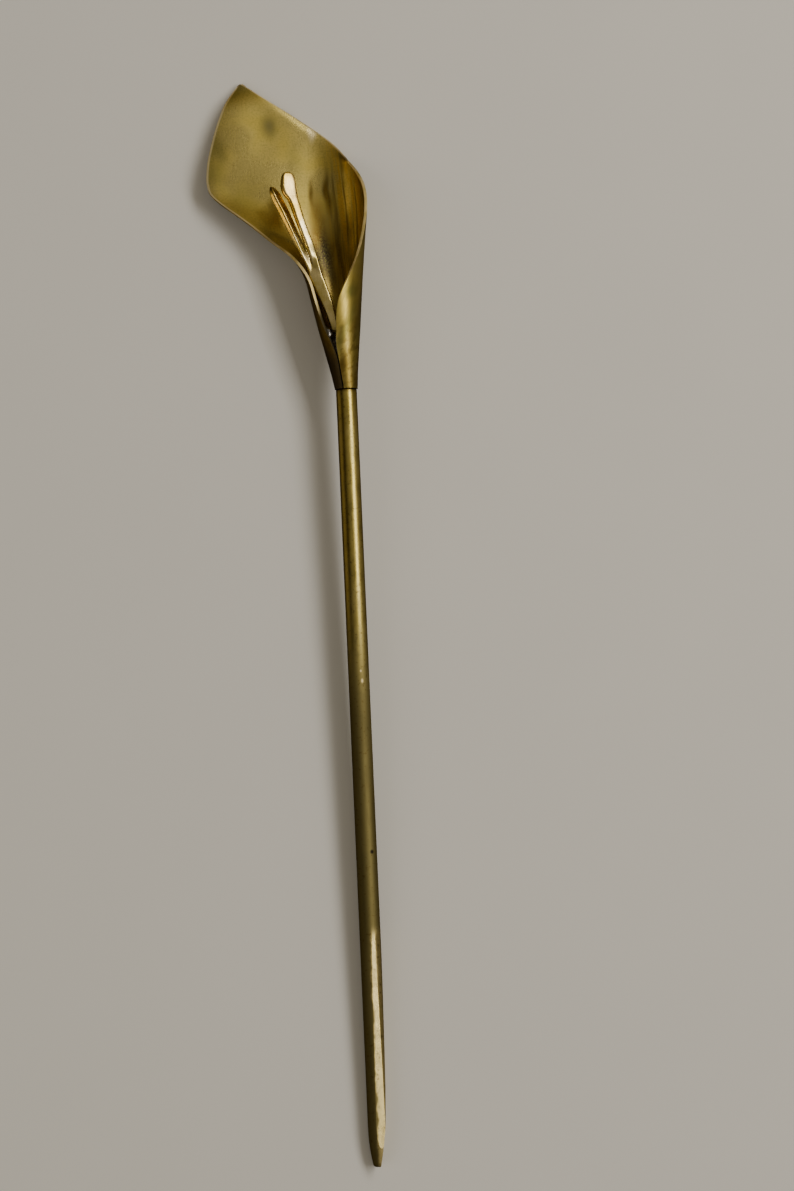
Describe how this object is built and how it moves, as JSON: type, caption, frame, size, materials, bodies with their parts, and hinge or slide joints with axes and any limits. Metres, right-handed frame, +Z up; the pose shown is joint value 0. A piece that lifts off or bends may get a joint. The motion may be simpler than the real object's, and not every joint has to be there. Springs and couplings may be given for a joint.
{
  "type": "hair stick",
  "caption": "Brass hair stick: a round pointed rod that ends in a calla-lily flower of rolled sheet with a two-prong stamen fork in its throat.",
  "frame": {"origin": "middle of the space that the lying stick takes, on the surface it lies on", "axes": "+Y along the stick towards the flower, +Z up out of the flower's open side, +X to the right as seen from above with the flower away"},
  "size_m": [0.025, 0.1678, 0.0105],
  "materials": {
    "rod_brass": "satin, drawn and filed",
    "petal_brass": "satin, polished inside, darkened in patches",
    "fork_brass": "polished, with dull grey solder at the foot"
  },
  "bodies": {
    "root": {"shaft": "rod_brass", "spathe": "petal_brass", "stamens": "fork_brass"}
  },
  "joints": []
}
